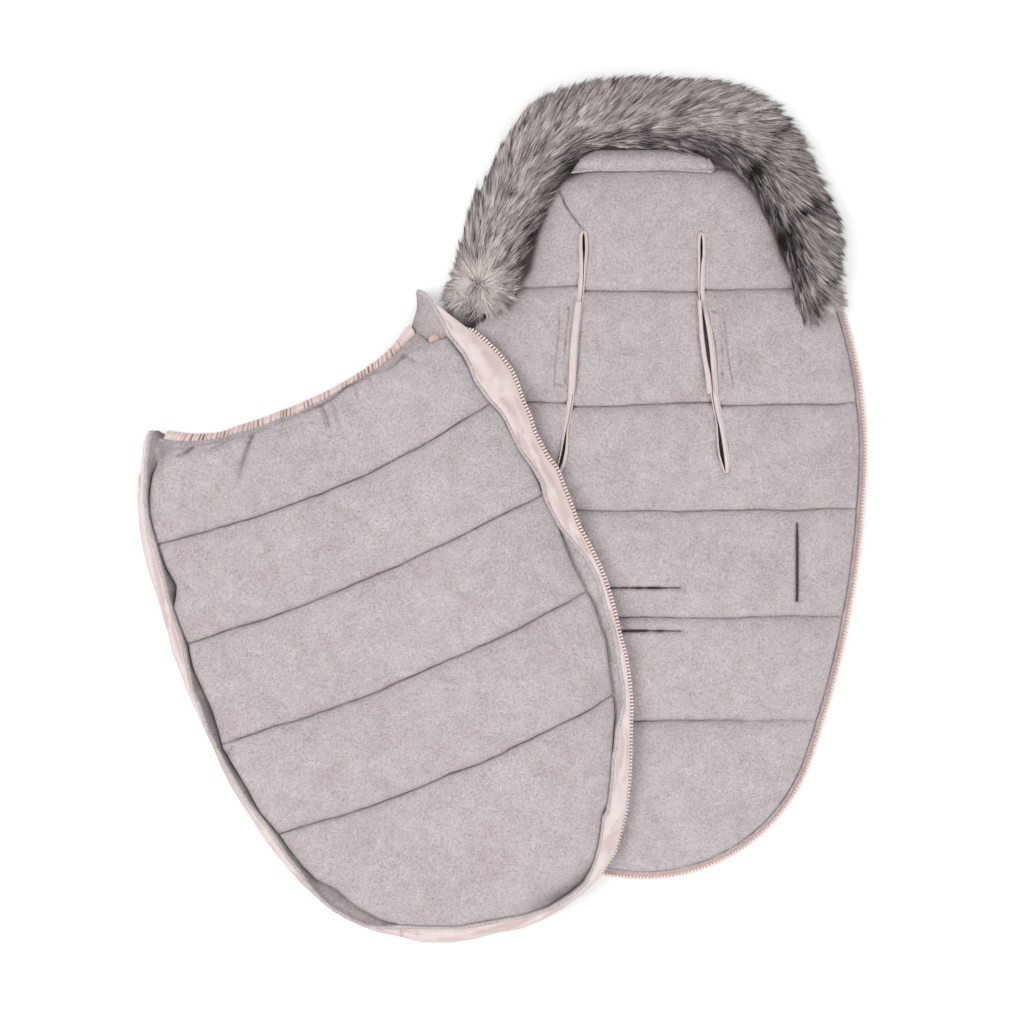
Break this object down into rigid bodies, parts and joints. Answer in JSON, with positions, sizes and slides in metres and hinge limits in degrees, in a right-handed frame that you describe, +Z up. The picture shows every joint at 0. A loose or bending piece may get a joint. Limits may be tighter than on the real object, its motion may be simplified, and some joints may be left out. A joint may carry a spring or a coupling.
{
  "type": "stroller footmuff",
  "caption": "Quilted, plush-lined pushchair footmuff with a fur-trimmed hood, harness slots and a zip-off front cover, opened out flat.",
  "frame": {"origin": "on the underside of the back section, on its centreline, between the two crotch slots", "axes": "+Y runs along the back section's centreline to its hood, +X to its right seen from above, +Z up from the floor"},
  "size_m": [0.8918, 1.0296, 0.069],
  "materials": {
    "back_fabric": "matt woven polyester, pale pink",
    "back_plush": "short curly plush, grey-pink",
    "cover_fabric": "matt woven polyester, pale pink",
    "cover_plush": "short curly plush, grey-pink",
    "gusset_fabric": "matt woven polyester, pale pink",
    "binding": "folded woven bias tape, pale pink",
    "wadding": "loose polyester wadding, white",
    "hook_and_loop": "loop tape behind the lining",
    "elastic": "woven elastic, white",
    "zip_tape": "woven zip tape, rose",
    "fur_backing": "knitted backing",
    "fur": "long imitation fur, grey-beige with dark tips",
    "rose_gold_metal": "rose gold plated, glossy"
  },
  "bodies": {
    "back_section": {"back_outer_shell": "back_fabric", "back_lining": "back_plush", "back_wadding_brim": "wadding", "back_wadding_hood": "wadding", "back_wadding_shoulders_left": "wadding", "back_wadding_shoulders_middle": "wadding", "back_wadding_shoulders_right": "wadding", "back_wadding_chest": "wadding", "back_wadding_seat": "wadding", "back_wadding_legs": "wadding", "back_wadding_foot": "wadding", "slot_binding_right": "binding", "slot_binding_left": "binding", "loop_patch_right": "hook_and_loop", "loop_patch_left": "hook_and_loop", "closing_tab_left": "binding", "back_zip_tape": "zip_tape", "back_zip_teeth": "rose_gold_metal", "back_zip_box": "rose_gold_metal", "back_zip_stop": "rose_gold_metal", "fur_trim_backing": "fur_backing", "fur_trim_pile": "fur", "hood_brim_lip": "back_plush"},
    "slider": {"zip_slider": "rose_gold_metal"},
    "pull": {"zip_pull_tab": "rose_gold_metal"},
    "right_tab": {"closing_tab_right": "binding"},
    "front_cover": {"cover_outer_shell": "cover_fabric", "cover_lining": "cover_plush", "cover_wadding_top": "wadding", "cover_wadding_upper": "wadding", "cover_wadding_middle": "wadding", "cover_wadding_lower": "wadding", "cover_wadding_foot": "wadding", "gusset_outer": "gusset_fabric", "gusset_lining": "cover_plush", "cover_zip_tape": "zip_tape", "cover_zip_teeth": "rose_gold_metal", "cover_zip_pin": "rose_gold_metal", "cover_zip_stop": "rose_gold_metal", "cover_top_casing": "gusset_fabric", "cover_top_elastic": "elastic", "snap_cap": "rose_gold_metal", "snap_socket": "rose_gold_metal"}
  },
  "joints": [
    {"name": "cover_lift", "type": "slide", "parent": "back_section", "child": "front_cover", "axis": [0, 0, 1], "range_m": [0, 0.25]},
    {"name": "zip_slider_travel", "type": "hinge", "parent": "back_section", "child": "slider", "pos_m": [-0.283, 0.189, 0.0046], "axis": [0, 0, -1], "range_deg": [0, 24]},
    {"name": "zip_pull", "type": "hinge", "parent": "slider", "child": "pull", "pos_m": [0.23312, 0.37583, 0.00985], "axis": [0.9403, 0.3404, 0], "range_deg": [0, 170]},
    {"name": "closing_tab_right_hinge", "type": "hinge", "parent": "back_section", "child": "right_tab", "pos_m": [0.06635, 0.3225, 0.0266], "axis": [0.1109, -0.9938, 0], "range_deg": [0, 150]}
  ]
}
